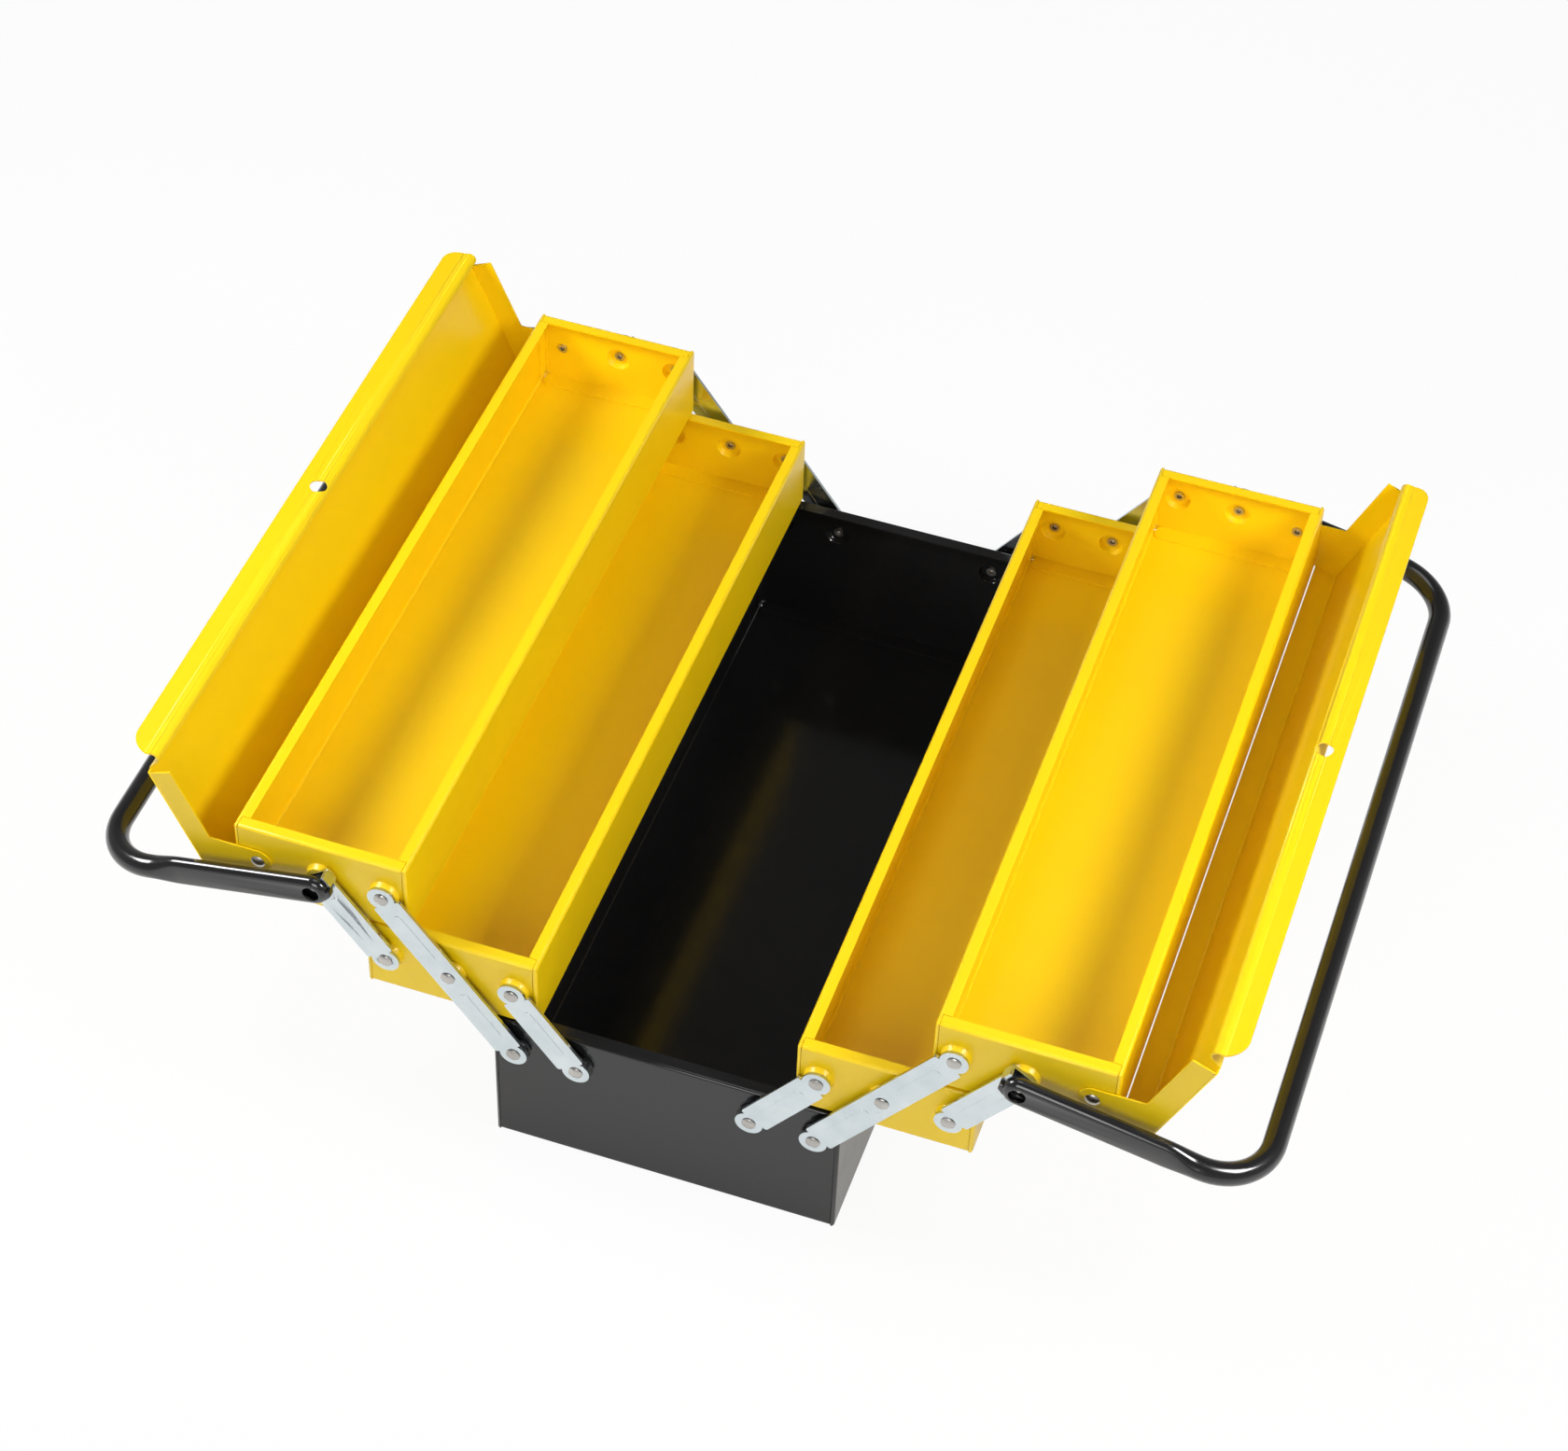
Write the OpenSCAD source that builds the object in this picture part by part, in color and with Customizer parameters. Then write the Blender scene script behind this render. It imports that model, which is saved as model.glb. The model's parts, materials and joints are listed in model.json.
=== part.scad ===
/* [Case] */
// Length over the end walls of the base
case_l = 450; // [340:1:560]
// Width of the base, and of two trays side by side when closed
case_w = 200; // [180:1:240]
// Height of the base
base_h = 98; // [80:1:130]
// Sheet thickness of the base
base_t = 1.2; // [0.8:0.1:2]
// Width of the flat rim round the base
base_rim_w = 8; // [5:0.5:12]

/* [Trays] */
// Height of a tray
tray_h = 48; // [36:1:49]
// Sheet thickness of the trays
tray_t = 1; // [0.8:0.1:1.4]
// Width of the flat rim round a tray
tray_rim_w = 7; // [5:0.5:11]
// Gap between the left and right trays when closed
seam_gap = 1; // [0.6:0.1:3]

/* [Folds] */
// Outer radius of every fold
fold_r = 1.8; // [1.5:0.1:3]
// Return of a long side round the corner onto the end face
return_w = 2.2; // [2.1:0.1:4]
// Open seam between two sheets that butt
butt_gap = 0.3; // [0.1:0.05:0.4]
// Width of the flange that an end panel lays on the floor
foot_w = 10; // [6:0.5:16]
// Width of the flange that an end panel lays on a long side
cheek_w = 9; // [6:0.5:14]
// Radius of the relief hole where three folds meet
relief_r = 1.3; // [0.8:0.1:2]

/* [Linkage] */
// Sideways distance between the two pivots of a short link at rest
link_dx = 36.5; // [30:0.5:38]
// Height of one tray step, between the pivots of a short link
link_dz = 50; // [49.5:0.5:56]
// Distance from a rim down to the pivots
pivot_drop = 21; // [18:0.5:24]
// Width of a link strip
link_w = 18.2; // [16:0.1:22]
// Thickness of a link strip
link_t = 1.8; // [1.2:0.1:2.5]
// Radius of the rounded end of a link
link_end_r = 7.2; // [6.5:0.1:9]
// Width of the bead pressed along a link
bead_w = 5; // [3:0.5:7]
// Height of the bead pressed along a link
bead_h = 0.3; // [0.2:0.1:0.8]
// Distance from a pivot to the near end of a bead
bead_end = 14; // [12:0.5:18]
// Length of the square end of an outer link past its pivot
square_end = 5.8; // [5:0.1:8]
// Length of the tab turned out from an outer link
tab_l = 8; // [5:0.5:10]
// Height of the tab turned out from an outer link
tab_h = 5.2; // [3:0.1:6.5]

/* [Rivets] */
// Radius of a boss pressed out of an end wall round a pivot
boss_r = 8.8; // [8.2:0.1:10]
// Slope of the side of a boss, as a drop in radius
boss_slope = 1.4; // [1:0.1:1.8]
// Height of a boss
boss_h = 2.8; // [2.2:0.1:3.6]
// Radius of a rivet shank
rivet_r = 2.5; // [2:0.1:3]
// Radius of a rivet head
head_r = 4; // [3.6:0.1:5]
// Height of a rivet head
head_h = 1.6; // [1:0.1:1.8]
// Radial clearance of a rivet in the sheets that turn on it
turn_gap = 0.06; // [0.02:0.01:0.1]

/* [Lid] */
// Sheet thickness of the lids
lid_t = 1; // [0.8:0.1:1.4]
// Depth of the flanges round a lid
lid_d = 15; // [11:0.5:18]
// Overhang of a closed lid past the outer wall of its tray
lid_over = 4; // [3:0.5:7]
// Distance from the tray's rim down to the lid's pivot
lid_drop = 23; // [19:0.5:25]
// Distance from the middle of the case to the bead of a closed lid
lid_bead_x = 20; // [19:0.5:28]
// Radius of the rounded end of a lid's ear
ear_r = 7.8; // [6:0.1:9]
// Reach of a lid's ear from its pivot towards the middle, at the flange
ear_in = 18.3; // [12:0.1:24]
// Gap between a lid's flange and the wall that stops it
stop_gap = 0.4; // [0.3:0.1:1.2]
// Radius of the corners of a lid's lip
lip_r = 12; // [9:0.5:13]
// Slope of a lip against the lid
lip_slope = 58; // [50:1:70]
// How much steeper the sheet runs down from the bead before the lip rises
lip_dip = 21.5; // [10:0.5:25]
// Width of a lip from its bead to its edge
lip_l = 14; // [13:0.1:17]
// Radius of the padlock hole in a lip
padlock_r = 5; // [3:0.5:5]
// Distance of the padlock hole from the lip's edge
padlock_in = 11.5; // [9:0.5:12]

/* [Handle] */
// Diameter of the handle tube
tube_d = 13; // [10:0.5:15]
// Distance from the pivots to the middle of the grip
handle_reach = 132.5; // [132:0.5:150]
// Radius of the tube's bends, to its middle
bend_r = 33; // [25:1:34]
// Width of a flattened arm
arm_w = 18; // [15:0.5:19]
// Thickness of a flattened arm
arm_t = 8; // [6:0.5:10]
// Wall of the tube where it is flattened
arm_wall = 1.6; // [1:0.1:2]
// Radius of the hole in an arm's outer wall
arm_hole_r = 4.8; // [4.5:0.1:6.5]
// Slope of the handles below level when open
handle_slope = 11.5; // [5:0.5:14]

/* [Hidden] */
$fn = 48;
// Overrun of every cut
over = 0.5;
// Gap between flat faces that slide past each other
slide_gap = 0.2;
// Gap between a link and the handle arm over it
arm_gap = 1.6;
// Gap between an end wall and a lid's ear
ear_gap = 0.4;
// Height and radius of the rolled tail of a rivet, and its hole
tail_h = 0.8;
tail_r = 3.2;
tail_hole_r = 1.6;
tail_hole_d = 2.4;
// Height of a handle rivet's head inside the arm
inside_head_h = 3;
// How far a flat sheet is drawn into a bend, and how much thinner on each face
seam_lap = 0.3;
seam_in = 0.02;
// Rounding of the corners of the inner flanges
flange_r = 3;
// Set-back of the inner flanges from the folds beside them
flange_back = 2;
// Distance of a relief hole from the inner faces of the folds
relief_at = 2.1;
// Height of the edge of a rivet head, under its dome
head_edge = 0.3;
// Colours
YELLOW = "gold";
BLACK = "#2b2b2b";
ZINC = "#c9d3da";
STEEL = "#b0aaa5";

// How much shorter a tray is than the base at each end
tray_inset = 0.5;
// How far a closed lid's flange hangs below the rim of its tray
lid_lap = 0.4;
// Set-back of the bead and the lip from the ends of a lid
lip_back = 4;
// How much less steep the rising part of the lip is, and the lip's run down and valley before it
lip_rise = 6;
dip_l = 2.2;
valley_r = 3;
// The bead between a lid and its lip: radius to the middle of the sheet, reach and depth
roll_r = 3.4;
roll_x = 6.9;
roll_z = 5.1;
// Where the sheet turns down from the lid
turn_x = 0.5;
// Length of an arm's flattened part from the pivot, and of the change to the round tube
flat_l = 83;
change_l = 14;
// Gap round the tab and under the heel that rests on it
tab_gap = 0.4;
heel_gap = 0.3;
// The heel of an arm: reach from the pivot, spread and set-back from the arm's faces
heel_r = 10.9;
heel_turn = 22;
heel_end = 48;
heel_in = 1.5;

// Places along the length, from the middle outwards
wall_y = case_l / 2;
tray_y = wall_y - tray_inset;
boss_y = wall_y + boss_h;
link_y = boss_y + slide_gap;
link_seat = link_y + link_t + slide_gap;
arm_y = link_y + link_t + arm_gap;
arm_seat = arm_y + arm_wall + slide_gap;
ear_y = tray_y + ear_gap;
ear_seat = ear_y + lid_t + slide_gap;
lid_l = 2 * (ear_y + lid_t);
tube_y = arm_y + arm_t / 2;
// Pivots across one side of the case when closed
pivot_mid = case_w / 4;
pivot_in = pivot_mid - link_dx;
pivot_out = pivot_mid + link_dx;
// Heights of the pivots of the base, the trays and the lid
base_pz = base_h - pivot_drop;
lower_pz = base_pz + link_dz;
upper_pz = lower_pz + link_dz;
rim_z = upper_pz + pivot_drop;
lid_pz = rim_z - lid_drop;
// Sideways places of the lower and upper trays at rest
lower_x = 2 * link_dx;
upper_x = 2 * lower_x;
// Bottoms of the trays
lower_z = lower_pz + pivot_drop - tray_h;
upper_z = rim_z - tray_h;
// A tray's inner and outer wall when closed, and its width
tray_x = seam_gap / 2;
tray_w = case_w / 2 - tray_x;
// Length of a short link and its lean from upright
link_len = norm([link_dx, link_dz]);
link_lean = atan2(link_dx, link_dz);
// The closed lid, measured from its pivot: side, top, lower edge and front
lid_side = case_w / 2 + lid_over - pivot_out;
lid_edge = lid_drop - lid_lap;
lid_top = lid_edge + lid_d;
lid_front = pivot_out - lid_bead_x;
// The opening angle at which the flange nearly meets the tray's outer wall
stop_x = case_w / 2 - pivot_out + stop_gap;
lid_open = atan2(lid_edge, lid_side) + acos(stop_x / norm([lid_side, lid_edge]));
// The angle on the bead at which the sheet from the lid meets it
roll_from = [turn_x - roll_x, roll_z - lid_t / 2];
roll_a = atan2(roll_from.y, roll_from.x) + acos(roll_r / norm(roll_from));

// Where a line from point q touches a circle of radius r round the origin, on side s
function touch(q, r, s) = let (a = atan2(q.y, q.x) + s * acos(r / norm(q))) r * [cos(a), sin(a)];

// A rectangle with round corners, from the origin
module round_rect(w, h, r) {
    translate([r, 0]) square([w - 2 * r, h]);
    translate([0, r]) square([w, h - 2 * r]);
    for (x = [r, w - r], y = [r, h - r])
        translate([x, y]) circle(r);
}

// A bar with round ends between two points on the x axis
module slot_shape(x0, x1, w) {
    translate([x0, -w / 2]) square([x1 - x0, w]);
    for (x = [x0, x1])
        translate([x, 0]) circle(w / 2);
}

// A rectangle from the origin with a round top right corner
module round_corner(w, h, r) {
    square([w - r, h]);
    square([w, h - r]);
    translate([w - r, h - r]) circle(r);
}

// A straight strip of sheet from point a to point b
module strip(a, b, t) {
    translate(a) rotate(atan2(b.y - a.y, b.x - a.x)) translate([0, -t / 2]) square([norm(b - a), t]);
}

// A curved strip of sheet round the origin, from angle a0 to a1, half a turn at most
module arc_strip(r, a0, a1, t) {
    reach = 2 * (r + t);
    difference() {
        circle(r + t / 2);
        circle(r - t / 2);
        rotate(a0) translate([-reach, -2 * reach]) square([2 * reach, 2 * reach]);
        rotate(a1) translate([-reach, 0]) square([2 * reach, 2 * reach]);
    }
}

// Turns a drawing in x and y upright and draws it out along the length, both ways
module along_y(len) {
    rotate([90, 0, 0]) linear_extrude(len, center = true) children();
}

// Turns a drawing upright and draws it out across the case
module along_x(len) {
    rotate([90, 0, 90]) linear_extrude(len) children();
}

// Turns a drawing upright, at a distance y in front of the middle, and draws it outwards
module outwards(y, len) {
    translate([0, -y, 0]) rotate([90, 0, 0]) linear_extrude(len) children();
}

// A round bar or cone that points out of the front end wall
module peg(x, z, y, len, r1, r2) {
    translate([x, -y, z]) rotate([90, 0, 0]) cylinder(h = len, r1 = r1, r2 = r2);
}

// Puts a part for the front right onto any side and end
module side(name) {
    mirror([name == "left" ? 1 : 0, 0, 0]) children();
}
module end(name) {
    mirror([0, name == "rear" ? 1 : 0, 0]) children();
}
module both_ends() {
    children();
    mirror([0, 1, 0]) children();
}

// The section of a shell with floor, sides and turned-in edges
module shell_section(w, h, t, edge) {
    difference() {
        round_rect(w, h, fold_r);
        translate([t, t]) round_rect(w - 2 * t, h - 2 * t, fold_r - t / 2);
        translate([edge, h / 2]) square([w - 2 * edge, h]);
    }
}

// Floor and long sides in one folded sheet, with rims turned inwards and returns at the corners
module folded_shell(w, h, t, rim, y) {
    difference() {
        intersection() {
            union() {
                along_y(2 * (y - rim - butt_gap)) shell_section(w, h, t, rim);
                along_y(2 * (y - t)) shell_section(w, h, t, return_w);
                both_ends() outwards(y - t, t) difference() {
                    round_rect(w, h, fold_r);
                    translate([return_w, -over]) square([w - 2 * return_w, h + 2 * over]);
                }
            }
            translate([0, -y, -over]) linear_extrude(h + 2 * over) round_rect(w, 2 * y, fold_r);
        }
        for (x = [t + relief_at, w - t - relief_at], m = [-1, 1])
            translate([x, m * (y - t - relief_at), -over]) cylinder(h = 2 * t + over, r = relief_r);
    }
}

// An end wall with its rim, its flanges inside, the bosses and the bores
module end_panel(w, h, t, rim, y, bosses, holes) {
    x0 = return_w + butt_gap;
    rise = boss_y - y;
    side_h = h - 3 * t - 2 * flange_back;
    difference() {
        union() {
            translate([x0, -y, 0]) along_x(w - 2 * x0) difference() {
                intersection() {
                    round_rect(2 * rim, h, fold_r);
                    square([rim, h]);
                }
                translate([t, -over]) square([rim, h - t + over]);
            }
            translate([t + flange_back, t - y, t]) linear_extrude(t)
                round_rect(w - 2 * (t + flange_back), foot_w, flange_r);
            for (m = [0, 1])
                translate([m * w, t - y, 2 * t + flange_back]) mirror([m, 0, 0]) translate([t, 0, 0]) {
                    along_x(t) round_rect(cheek_w, side_h, flange_r);
                    cube([x0, t, side_h]);
                }
            for (p = bosses)
                peg(p.x, p.y, y - t / 2, rise + t / 2, boss_r, boss_r - boss_slope);
        }
        for (p = bosses)
            peg(p.x, p.y, y - t - over, rise + over, boss_r - t, boss_r - t - boss_slope);
        for (p = concat(bosses, holes))
            peg(p.x, p.y, y - t - over, rise + t + 2 * over, rivet_r, rivet_r);
    }
}

// A rivet from its tail inside the sheets to its domed head at a distance seat
module rivet(x, z, tail, seat, h) {
    rise = h - head_edge;
    cap_r = (head_r * head_r + rise * rise) / (2 * rise);
    difference() {
        union() {
            peg(x, z, tail - tail_h, tail_h, tail_r, tail_r);
            peg(x, z, tail - over, seat - tail + 2 * over, rivet_r - turn_gap, rivet_r - turn_gap);
            intersection() {
                peg(x, z, seat, h, head_r, head_r);
                translate([x, cap_r - seat - h, z]) sphere(cap_r, $fn = 2 * $fn);
            }
        }
        peg(x, z, tail - tail_h - over, tail_hole_d + over, tail_hole_r, tail_hole_r);
    }
}

// Rivets at both ends, at the pivots given
module rivets(pivots, tail, seat, h) {
    both_ends() for (p = pivots)
        rivet(p.x, p.y, tail, seat, h);
}

// The outline of a link from its lower pivot, with a round or a square top end
module link_outline(len, square_top) {
    shoulder = link_end_r / 2;
    translate([shoulder, -link_w / 2])
        square([len - (square_top ? shoulder - square_end : 2 * shoulder), link_w]);
    circle(link_end_r);
    if (!square_top) translate([len, 0]) circle(link_end_r);
}

// A link in the front plane from its lower pivot: strip, beads, bores and the turned-out tab
module link(steps, square_top) {
    len = steps * link_len;
    rotate([0, link_lean - 90, 0]) difference() {
        union() {
            outwards(link_y, link_t) link_outline(len, square_top);
            for (k = [0 : steps - 1])
                outwards(link_y + link_t - over, bead_h + over)
                    slot_shape(k * link_len + bead_end, (k + 1) * link_len - bead_end, bead_w);
            if (square_top) {
                outwards(link_y, link_t)
                    translate([len + square_end - tab_l, 0]) square([tab_l, arm_w / 2 + tab_gap + link_t]);
                outwards(link_y, link_t + tab_h)
                    translate([len + square_end - tab_l, arm_w / 2 + tab_gap]) square([tab_l, link_t]);
            }
        }
        for (k = [0 : steps - 1])
            outwards(link_y - over, bead_h + over)
                slot_shape(k * link_len + bead_end, (k + 1) * link_len - bead_end, bead_w - link_t);
        for (k = [0 : steps])
            peg(k * link_len, 0, link_y - over, link_t + 2 * over, rivet_r, rivet_r);
    }
}

// The section of a closed lid's top and side flange, from its pivot
module lid_section() {
    w = lid_front + lid_side;
    difference() {
        translate([-lid_front, lid_edge]) round_corner(w, lid_d, fold_r);
        translate([-lid_front - over, lid_edge - over])
            round_corner(w + over - lid_t, lid_d + over - lid_t, fold_r - lid_t / 2);
    }
}

// The end plate of a closed lid, with the ear that reaches down to its pivot
module lid_end() {
    outer = [lid_side, lid_edge];
    inner = [-ear_in, lid_edge];
    difference() {
        union() {
            translate([-lid_front, lid_edge]) round_corner(lid_front + lid_side, lid_d, fold_r);
            circle(ear_r);
            polygon([outer, touch(outer, ear_r - seam_in, -1), [0, 0],
                touch(inner, ear_r - seam_in, 1), inner, [0, lid_edge + over]]);
        }
        circle(rivet_r);
    }
}

// The bead beside the top of a lid and the lip that dips and rises from it, in section
module bead_section() {
    roll = [roll_x, -roll_z];
    start = [turn_x, -lid_t / 2];
    tangent = roll + roll_r * [cos(roll_a), sin(roll_a)];
    along = (tangent - start) / norm(tangent - start);
    dip_a = 270 + lip_slope + lip_dip;
    out = [cos(dip_a), sin(dip_a)];
    down = [-out.y, out.x];
    dip = roll + roll_r * out;
    valley = dip + dip_l * down + valley_r * out;
    rise_a = lip_slope - lip_rise;
    up = [cos(rise_a), sin(rise_a)];
    rise = valley + valley_r * [-up.y, up.x];
    translate([-over, -lid_t]) square([over + turn_x, lid_t]);
    translate(start) circle(lid_t / 2);
    strip(start, tangent + seam_lap * along, lid_t - 2 * seam_in);
    translate(roll) arc_strip(roll_r, roll_a, dip_a, lid_t);
    strip(dip - seam_lap * down, dip + (dip_l + seam_lap) * down, lid_t - 2 * seam_in);
    translate(valley) arc_strip(valley_r, rise_a + 90, dip_a - 180, lid_t);
    strip(rise - seam_lap * up, rise + lip_l * up, lid_t - 2 * seam_in);
}

// The outline that a bead and its lip are cut to, seen square to the lip
module lip_outline() {
    w = lid_l - 2 * lip_back;
    back = roll_x + 2 * roll_r;
    translate([-back, -w / 2]) square([back + lip_l - lip_r, w]);
    translate([-back, lip_r - w / 2]) square([back + lip_l, w - 2 * lip_r]);
    for (m = [-1, 1])
        translate([lip_l - lip_r, m * (w / 2 - lip_r)]) circle(lip_r);
}

// A lid as it lies closed, from its pivot
module closed_lid() {
    intersection() {
        union() {
            along_y(lid_l) lid_section();
            both_ends() outwards(ear_y, lid_t) lid_end();
        }
        translate([-lid_front, -lid_l / 2, lid_top - 2 * lid_d - lid_drop])
            along_x(lid_front + lid_side) round_rect(lid_l, 2 * lid_d + lid_drop, fold_r);
    }
    translate([-lid_front, 0, lid_top]) mirror([1, 0, 0]) intersection() {
        along_y(lid_l) bead_section();
        translate([roll_x + roll_r * sin(lip_slope), 0, -roll_z - roll_r * cos(lip_slope)])
            rotate([0, -lip_slope, 0]) difference() {
                translate([0, 0, -2 * roll_r]) linear_extrude(2 * roll_r + lid_d) lip_outline();
                translate([lip_l - padlock_in, 0, -2 * roll_r - over])
                    cylinder(h = over + 3 * roll_r - lid_t, r = padlock_r);
            }
    }
}

// A handle's bar along x from its pivot, drawn inwards by inset
module handle_bar(inset) {
    r = tube_d / 2 - inset;
    w = arm_w / 2 - inset;
    t = arm_t - 2 * inset;
    core = w - t / 2;
    bend_x = handle_reach - bend_r;
    both_ends() translate([0, -tube_y, 0]) {
        rotate([90, 0, 0]) {
            cylinder(h = t, r = core, center = true);
            rotate_extrude() translate([core, 0]) circle(t / 2);
        }
        translate([0, -t / 2, -core]) cube([flat_l, t, 2 * core]);
        for (z = [-core, core])
            translate([0, 0, z]) rotate([0, 90, 0]) cylinder(h = flat_l, r = t / 2);
        translate([flat_l, 0, 0]) intersection() {
            rotate([0, 90, 0]) cylinder(h = change_l, r1 = w, r2 = r);
            linear_extrude(2 * w, center = true)
                polygon([[0, -t / 2], [change_l, -r], [change_l, r], [0, t / 2]]);
        }
        translate([flat_l + change_l, 0, 0]) rotate([0, 90, 0])
            cylinder(h = bend_x - flat_l - change_l, r = r);
        translate([bend_x, bend_r, 0]) rotate(-90) rotate_extrude(angle = 90)
            translate([bend_r, 0]) circle(r);
    }
    translate([handle_reach, 0, 0]) rotate([90, 0, 0])
        cylinder(h = 2 * (tube_y - bend_r), r = r, center = true);
}

// The heel of an arm, drawn along the outer link from the pivot, that rests under the tab
module heel() {
    back = tab_l - square_end + heel_gap;
    high = sqrt(heel_r * heel_r - back * back);
    a = 90 + asin(back / heel_r);
    polygon([[-back, 0], [-back, high], heel_r * [cos(a + heel_turn), sin(a + heel_turn)],
        arm_w / 2 * [cos(a + heel_end), sin(a + heel_end)]]);
}

// A handle at rest, from its pivot
module handle() {
    rotate([0, handle_slope, 0]) difference() {
        union() {
            handle_bar(0);
            both_ends() outwards(arm_y + heel_in, arm_t - 2 * heel_in)
                rotate(90 - link_lean + handle_slope) heel();
        }
        handle_bar(arm_wall);
        both_ends() {
            peg(0, 0, arm_y - over, arm_wall + 2 * over, rivet_r, rivet_r);
            peg(0, 0, tube_y, arm_t, arm_hole_r, arm_hole_r);
        }
    }
}

// Base
module base_shell() {
    color(BLACK) translate([-case_w / 2, 0, 0])
        folded_shell(case_w, base_h, base_t, base_rim_w, wall_y);
}
module base_end(e) {
    middle = case_w / 2;
    bosses = [for (x = [pivot_mid, pivot_out], m = [-1, 1]) [middle + m * x, base_pz]];
    color(BLACK) end(e) translate([-middle, 0, 0])
        end_panel(case_w, base_h, base_t, base_rim_w, wall_y, bosses, []);
}
module base_rivets() {
    pivots = [for (x = [pivot_mid, pivot_out], m = [-1, 1]) [m * x, base_pz]];
    color(STEEL) rivets(pivots, boss_y - base_t, link_seat, head_h);
}

// Trays
module tray_shell(s, x, z) {
    color(YELLOW) side(s) translate([x + tray_x, 0, z])
        folded_shell(tray_w, tray_h, tray_t, tray_rim_w, tray_y);
}
module lower_tray_shell(s) tray_shell(s, lower_x, lower_z);
module upper_tray_shell(s) tray_shell(s, upper_x, upper_z);
module lower_tray_end(s, e) {
    bosses = [for (x = [pivot_in, pivot_mid, pivot_out]) [x - tray_x, tray_h - pivot_drop]];
    color(YELLOW) side(s) end(e) translate([lower_x + tray_x, 0, lower_z])
        end_panel(tray_w, tray_h, tray_t, tray_rim_w, tray_y, bosses, []);
}
module upper_tray_end(s, e) {
    bosses = [for (x = [pivot_in, pivot_mid]) [x - tray_x, tray_h - pivot_drop]];
    holes = [[pivot_out - tray_x, tray_h - lid_drop]];
    color(YELLOW) side(s) end(e) translate([upper_x + tray_x, 0, upper_z])
        end_panel(tray_w, tray_h, tray_t, tray_rim_w, tray_y, bosses, holes);
}

// Rivets of the trays
module lower_rivets(s) {
    pivots = [for (x = [pivot_in, pivot_mid, pivot_out]) [lower_x + x, lower_pz]];
    color(STEEL) side(s) rivets(pivots, boss_y - tray_t, link_seat, head_h);
}
module upper_rivets(s) {
    color(STEEL) side(s) rivets([[upper_x + pivot_in, upper_pz]], boss_y - tray_t, link_seat, head_h);
}
module handle_rivets(s) {
    pivots = [[upper_x + pivot_mid, upper_pz]];
    color(STEEL) side(s) rivets(pivots, boss_y - tray_t, arm_seat, inside_head_h);
}
module lid_rivets(s) {
    color(STEEL) side(s) rivets([[upper_x + pivot_out, lid_pz]], tray_y - tray_t, ear_seat, head_h);
}

// Links
module inner_link(s, e) {
    color(ZINC) side(s) end(e) translate([pivot_mid, 0, base_pz]) link(1, false);
}
module long_link(s, e) {
    color(ZINC) side(s) end(e) translate([pivot_out, 0, base_pz]) link(2, false);
}
module outer_link(s, e) {
    color(ZINC) side(s) end(e) translate([lower_x + pivot_out, 0, lower_pz]) link(1, true);
}

// Lids and handles
module lid(s) {
    color(YELLOW) side(s) translate([upper_x + pivot_out, 0, lid_pz]) rotate([0, lid_open, 0]) closed_lid();
}
module carry_handle(s) {
    color(BLACK) side(s) translate([upper_x + pivot_mid, 0, upper_pz]) handle();
}

base_shell();
base_end("front");  // base_end_front
base_end("rear");  // base_end_rear
base_rivets();
lower_tray_shell("left");  // lower_tray_shell_left
lower_tray_end("left", "front");  // lower_tray_end_front_left
lower_tray_end("left", "rear");  // lower_tray_end_rear_left
lower_tray_shell("right");  // lower_tray_shell_right
lower_tray_end("right", "front");  // lower_tray_end_front_right
lower_tray_end("right", "rear");  // lower_tray_end_rear_right
upper_tray_shell("left");  // upper_tray_shell_left
upper_tray_end("left", "front");  // upper_tray_end_front_left
upper_tray_end("left", "rear");  // upper_tray_end_rear_left
upper_tray_shell("right");  // upper_tray_shell_right
upper_tray_end("right", "front");  // upper_tray_end_front_right
upper_tray_end("right", "rear");  // upper_tray_end_rear_right
lower_rivets("left");  // lower_rivets_left
lower_rivets("right");  // lower_rivets_right
upper_rivets("left");  // upper_rivets_left
upper_rivets("right");  // upper_rivets_right
handle_rivets("left");  // handle_rivets_left
handle_rivets("right");  // handle_rivets_right
lid_rivets("left");  // lid_rivets_left
lid_rivets("right");  // lid_rivets_right
inner_link("left", "front");  // inner_link_front_left
inner_link("left", "rear");  // inner_link_rear_left
inner_link("right", "front");  // inner_link_front_right
inner_link("right", "rear");  // inner_link_rear_right
long_link("left", "front");  // long_link_front_left
long_link("left", "rear");  // long_link_rear_left
long_link("right", "front");  // long_link_front_right
long_link("right", "rear");  // long_link_rear_right
outer_link("left", "front");  // outer_link_front_left
outer_link("left", "rear");  // outer_link_rear_left
outer_link("right", "front");  // outer_link_front_right
outer_link("right", "rear");  // outer_link_rear_right
lid("left");  // lid_left
lid("right");  // lid_right
carry_handle("left");  // handle_left
carry_handle("right");  // handle_right
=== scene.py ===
"""Looks of the cantilever tool box: finishes, links, handles, studio and camera.

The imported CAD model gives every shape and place. This script gives each of its nodes a
procedural finish, models the links and the carrying handles in the finer form of pressed
strip and bent tube, and sets up the floor, the lamps and the camera.
"""

import json
import logging
import math
from collections.abc import Callable
from dataclasses import dataclass
from enum import Enum

import bpy
from mathutils import Matrix, Vector

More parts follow.
